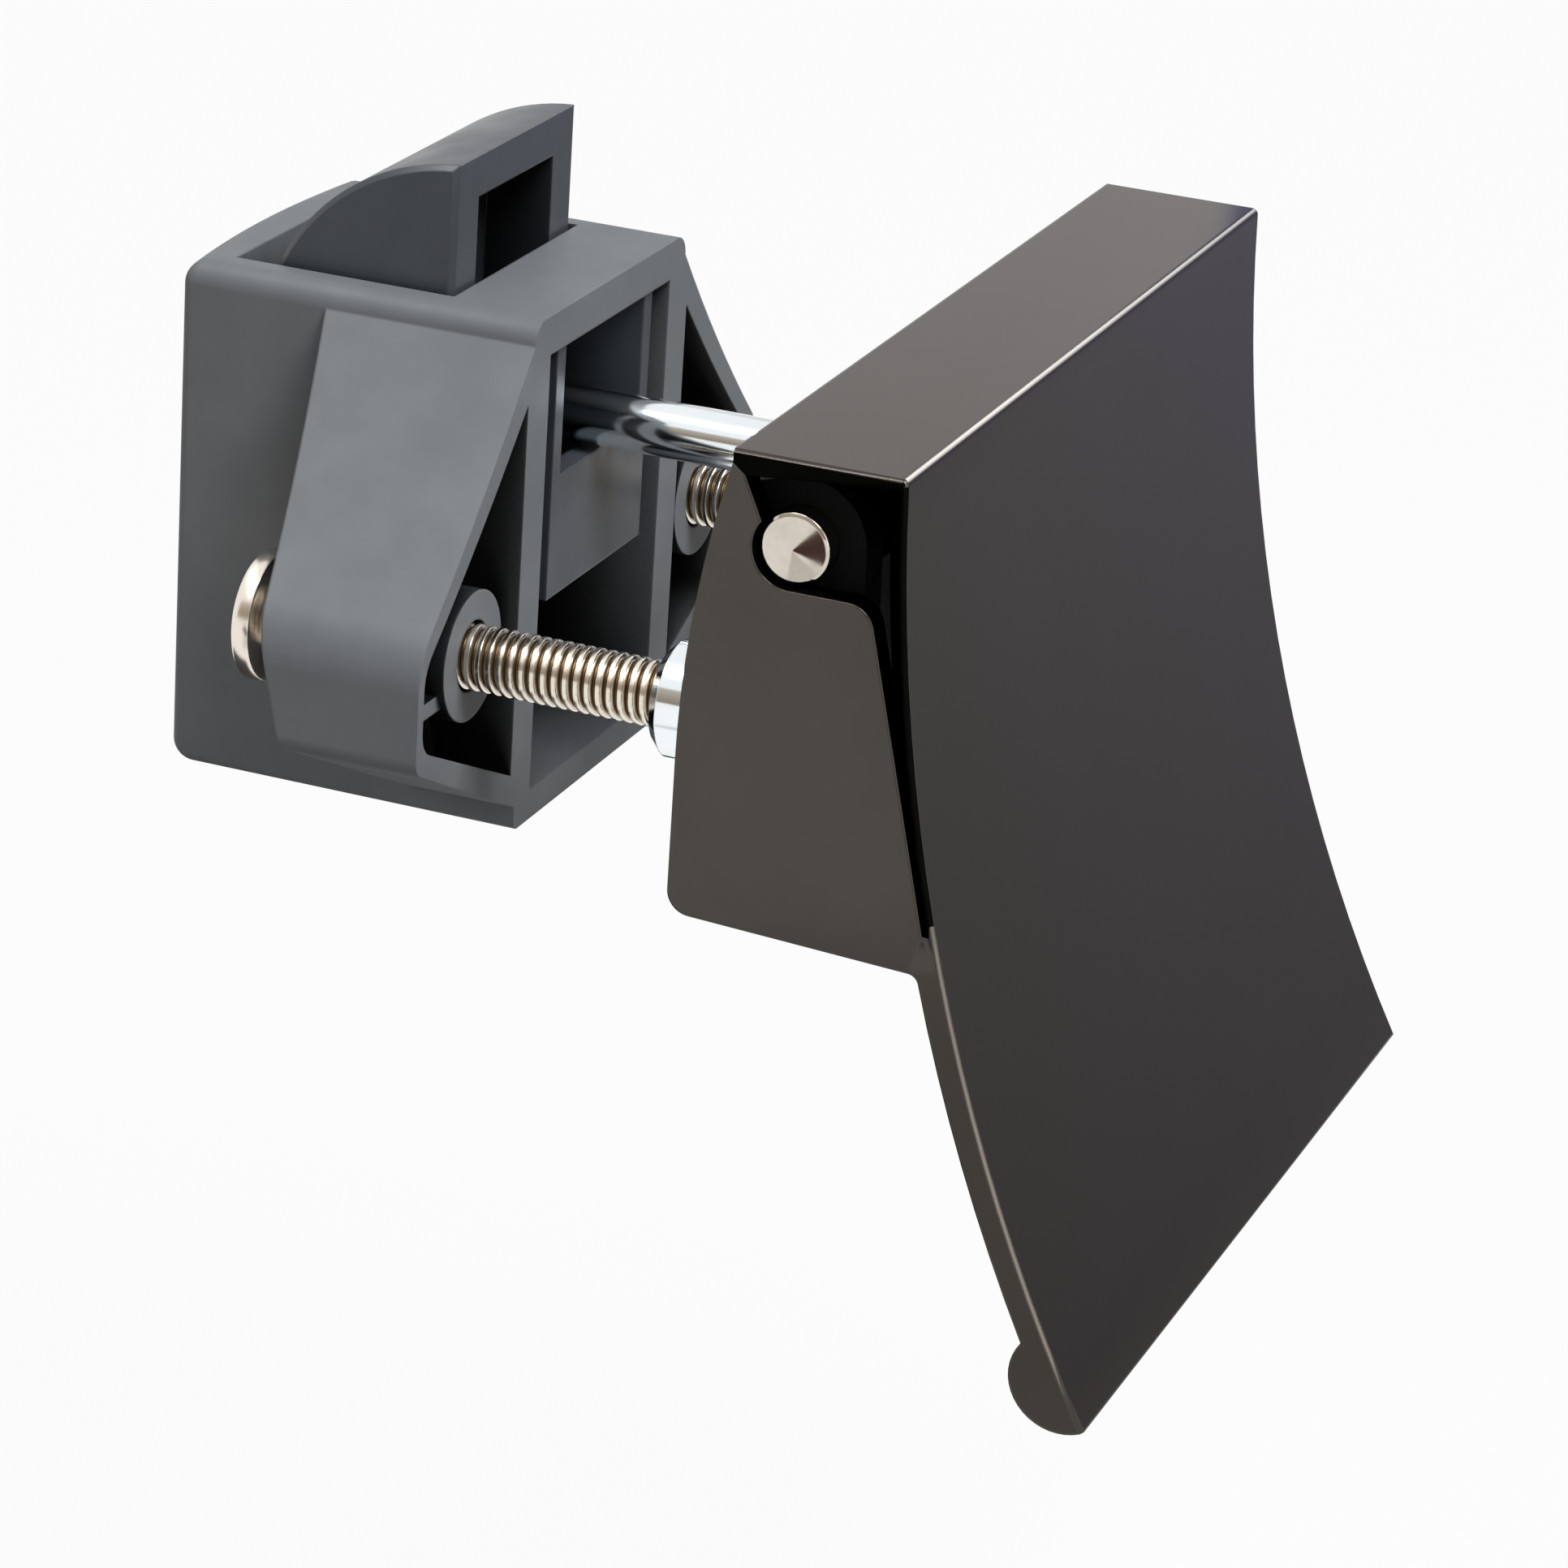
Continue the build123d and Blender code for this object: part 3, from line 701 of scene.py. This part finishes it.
@dataclass
class Card:
    """Flat card beside the set that only shows in reflections.

    Attributes:
        name: Name of the card.
        centre_mm: Middle of the card.
        facing: Direction that the card faces.
        size_mm: Width and height of the card.
        low: Linear colour of its lower edge.
        high: Linear colour of its upper edge, or None for an even card.
    """

    name: str
    centre_mm: tuple[float, float, float]
    facing: Facing
    size_mm: tuple[float, float]
    low: tuple[float, float, float]
    high: tuple[float, float, float] | None = None

    def build(self) -> None:
        """Put the card in its place."""
        shape = bmesh.new()
        bmesh.ops.create_grid(shape, x_segments=1, y_segments=1, size=0.5)
        bmesh.ops.scale(shape, vec=(*self.size_mm, 1), verts=shape.verts)
        turn = Vector(self.facing.value).to_track_quat("Z", "Y").to_matrix()
        bmesh.ops.rotate(shape, verts=shape.verts, cent=(0, 0, 0), matrix=turn)
        bmesh.ops.translate(shape, verts=shape.verts, vec=self.centre_mm)
        bmesh.ops.scale(shape, vec=(MM, MM, MM), verts=shape.verts)
        heights = [vert.co.z for vert in shape.verts]
        mesh = mesh_of(self.name, shape)
        mesh.materials.append(self.glow(min(heights), max(heights)))
        card = add_object(self.name, mesh)
        card.visible_camera = card.visible_diffuse = card.visible_shadow = card.visible_transmission = False

    def glow(self, bottom: float, top: float) -> bpy.types.Material:
        """Make a surface that glows in the card's colours.

        Args:
            bottom: Height of the lower edge in metres.
            top: Height of the upper edge in metres.

        Returns:
            The new material.
        """
        made = bpy.data.materials.new(self.name)
        made.use_nodes = True
        tree = made.node_tree
        tree.nodes.remove(tree.nodes["Principled BSDF"])
        place = add_node(tree, "ShaderNodeTexCoord")
        axes = add_node(tree, "ShaderNodeSeparateXYZ", {0: place.outputs["Object"]})
        level = add_node(tree, "ShaderNodeMapRange", {
            "Value": axes.outputs["Z"], "From Min": bottom, "From Max": top})
        tint = add_node(tree, "ShaderNodeMix", {
            "Factor": level.outputs[0], "A": (*self.low, 1), "B": (*(self.high or self.low), 1)},
            data_type="RGBA")
        light = add_node(tree, "ShaderNodeEmission", {"Color": tint.outputs["Result"], "Strength": 1.0})
        tree.links.new(light.outputs[0], tree.nodes["Material Output"].inputs["Surface"])
        return made


@dataclass
class SoftBox:
    """Rectangular soft light that looks at the latch.

    Attributes:
        name: Name of the light.
        place_mm: Place of the light.
        size_mm: Width and height of its front.
        power: Power in watts.
        tint: Colour of the light as sRGB hex.
        diffuse: Whether it lights matt surfaces, or only glints on bright ones.
        glossy: Whether it glints on bright surfaces, or only lights matt ones.
    """

    name: str
    place_mm: tuple[float, float, float]
    size_mm: tuple[float, float]
    power: float
    tint: str = "#ffffff"
    diffuse: bool = True
    glossy: bool = True

    def build(self) -> None:
        """Hang the light."""
        data = bpy.data.lights.new(self.name, "AREA")
        data.shape = "RECTANGLE"
        data.size, data.size_y = (side * MM for side in self.size_mm)
        data.energy = self.power
        data.color = linear(self.tint)[:3]
        lamp = add_object(self.name, data)
        lamp.location = Vector(self.place_mm) * MM
        lamp.rotation_mode = "QUATERNION"
        lamp.rotation_quaternion = (-lamp.location).to_track_quat("-Z", "Y")
        lamp.visible_diffuse, lamp.visible_glossy = self.diffuse, self.glossy


@dataclass
class Studio:
    """Floor, soft lights, cards, surroundings and camera.

    Attributes:
        eye_mm: Place of the camera, in millimetres.
        azimuth: Turn of the camera round the latch, in degrees.
        elevation: Height angle of the camera, in degrees.
        roll: Turn of the picture, in degrees.
        lens_px: Focal length in pixels of the square picture.
        picture_px: Width of the picture in pixels.
        floor_mm: Height of the floor, in millimetres.
        floor_reach_mm: Distance of the floor's edges from the middle, in millimetres.
        floor_grey: Colour that the floor has for diffuse light.
        floor_white: Level at which the floor glows where it is seen.
        floor_share: Share of the glow in what is seen of the floor.
        fill: Level of the surroundings for diffuse light.
        mirror: Level of the surroundings in reflections.
    """

    eye_mm: tuple[float, float, float] = (-304.386, -108.874, 117.786)
    azimuth: float = -69.504
    elevation: float = 21.66
    roll: float = 3.874
    lens_px: float = 7021.3
    picture_px: float = 1932.0
    floor_mm: float = -75.0
    floor_reach_mm: float = 3000.0
    floor_grey: float = 0.3
    floor_white: float = 1.04
    floor_share: float = 0.92
    fill: float = 0.11
    mirror: float = 0.95

    def build(self) -> None:
        """Make everything round the latch."""
        self.camera()
        self.floor()
        self.lights()
        self.world()
        self.cards()

    def camera(self) -> None:
        """Place the camera where the photograph was taken from."""
        data = bpy.data.cameras.new("camera")
        data.sensor_width = 36.0
        data.lens = data.sensor_width * self.lens_px / self.picture_px
        data.clip_start = 0.01
        data.clip_end = 20.0
        camera = add_object("camera", data)
        turn, rise = math.radians(self.azimuth), math.radians(self.elevation)
        back = Vector((math.sin(turn) * math.cos(rise), -math.cos(turn) * math.cos(rise), math.sin(rise)))
        upright = (-back).to_track_quat("-Z", "Y")
        camera.location = Vector(self.eye_mm) * MM
        camera.rotation_mode = "QUATERNION"
        camera.rotation_quaternion = upright @ Quaternion((0, 0, 1), math.radians(self.roll))
        bpy.context.scene.camera = camera

    def seen(self, tree: bpy.types.NodeTree) -> bpy.types.NodeSocket:
        """One where the camera, a reflection or a refraction looks, zero for diffuse light."""
        path = add_node(tree, "ShaderNodeLightPath")
        seen = add_node(tree, "ShaderNodeMath", {
            0: path.outputs["Is Camera Ray"], 1: path.outputs["Is Glossy Ray"]}, operation="MAXIMUM")
        return add_node(tree, "ShaderNodeMath", {0: seen.outputs[0], 1: path.outputs["Is Transmission Ray"]},
                        operation="MAXIMUM").outputs[0]

    def floor(self) -> None:
        """Make the pale floor, which the camera sees almost white."""
        shape = bmesh.new()
        bmesh.ops.create_grid(shape, x_segments=1, y_segments=1, size=self.floor_reach_mm * MM)
        bmesh.ops.translate(shape, verts=shape.verts, vec=(0, 0, self.floor_mm * MM))
        mesh = mesh_of("floor", shape)
        made = bpy.data.materials.new("pale floor")
        made.use_nodes = True
        tree = made.node_tree
        share = add_node(tree, "ShaderNodeMath", {0: self.seen(tree), 1: self.floor_share},
                         operation="MULTIPLY")
        matt = add_node(tree, "ShaderNodeBsdfDiffuse", {"Color": (*[self.floor_grey] * 3, 1)})
        white = add_node(tree, "ShaderNodeEmission", {"Color": (1, 1, 1, 1), "Strength": self.floor_white})
        mix = add_node(tree, "ShaderNodeMixShader", {
            0: share.outputs[0], 1: matt.outputs[0], 2: white.outputs[0]})
        tree.links.new(mix.outputs[0], tree.nodes["Material Output"].inputs["Surface"])
        mesh.materials.append(made)
        floor = add_object("floor", mesh)

    def lights(self) -> None:
        """Hang the soft lights."""
        for light in (
            SoftBox("main softbox", (-140, -390, 625), (350, 350), 5.4, tint="#f1f8ff"),
            SoftBox("left fill", (-420, 330, 160), (300, 300), 0.3, glossy=False),
            SoftBox("front softbox", (-290, -620, 110), (240, 640), 1.4, diffuse=False),
            SoftBox("back strip", (-200, 235, 560), (700, 120), 3.0, diffuse=False),
        ):
            light.build()

    def world(self) -> None:
        """Surround the set with an even white."""
        world = bpy.data.worlds.new("white studio")
        bpy.context.scene.world = world
        world.use_nodes = True
        tree = world.node_tree
        path = add_node(tree, "ShaderNodeLightPath")
        shiny = add_node(tree, "ShaderNodeMath", {
            0: path.outputs["Is Glossy Ray"], 1: path.outputs["Is Transmission Ray"]}, operation="MAXIMUM")
        level = add_node(tree, "ShaderNodeMapRange", {
            "Value": shiny.outputs[0], "To Min": self.fill, "To Max": self.mirror})
        level = add_node(tree, "ShaderNodeMath", {0: level.outputs[0], 1: path.outputs["Is Camera Ray"]},
                         operation="MAXIMUM")
        tree.links.new(level.outputs[0], tree.nodes["Background"].inputs["Strength"])
        tree.nodes["Background"].inputs["Color"].default_value = (1, 1, 1, 1)

    def cards(self) -> None:
        """Put up the cards that the polished faces mirror."""
        brown = (0.07, 0.035, 0.035)
        for card in (
            Card("grey card on the right", (190, -110, 10), Facing.LEFT, (290, 168),
                 low=(0.297, 0.29, 0.265), high=(0.26, 0.25, 0.48)),
            Card("pale card on the right", (192, 80, 95), Facing.LEFT, (90, 120), low=(0.76, 0.74, 0.74)),
            Card("bright strip on the right", (185, -80, 97), Facing.LEFT, (160, 75),
                 low=(1.0, 1.0, 1.0), high=(10.0, 10.0, 10.0)),
            Card("brown card on the left", (-400, -15, -74), Facing.UP, (370, 90), low=brown),
            Card("far brown card on the left", (-665, 18, -74), Facing.UP, (670, 156), low=brown),
            Card("upright brown card on the left", (-300, 30, 118), Facing.RIGHT, (580, 166),
                 low=(0.26, 0.2, 0.14), high=(0.5, 0.45, 0.4)),
            Card("grey card before the left side", (-140, 10, -74.5), Facing.UP, (80, 80),
                 low=(0.68, 0.68, 0.67)),
            # This dark card paints the case's shadow on the floor, seen only in reflections
            Card("painted shadow card under the case", (30, 85, -74), Facing.UP, (160, 90), low=(0.05, 0.05, 0.055)),
        ):
            card.build()


def main() -> None:
    """Dress the latch, make its fine pieces and set the studio."""
    logging.basicConfig(level=logging.INFO, format="%(message)s")
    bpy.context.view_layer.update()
    dress("lock_case", CASE_NYLON)
    dress("latch_bolt", BOLT_ACETAL)
    dress("base_bracket", BLACK_PAINT)
    dress("tongue", BRIGHT_ZINC)
    for side in Side:
        dress(f"{side.word}_threaded_post", BRIGHT_ZINC)
        MachineScrew(side).build()
    PullHandle().build()
    HingePin().build()
    BoltSpring().build()
    Studio().build()
    bpy.context.scene.view_settings.view_transform = "Standard"


if __name__ == "__main__":
    main()
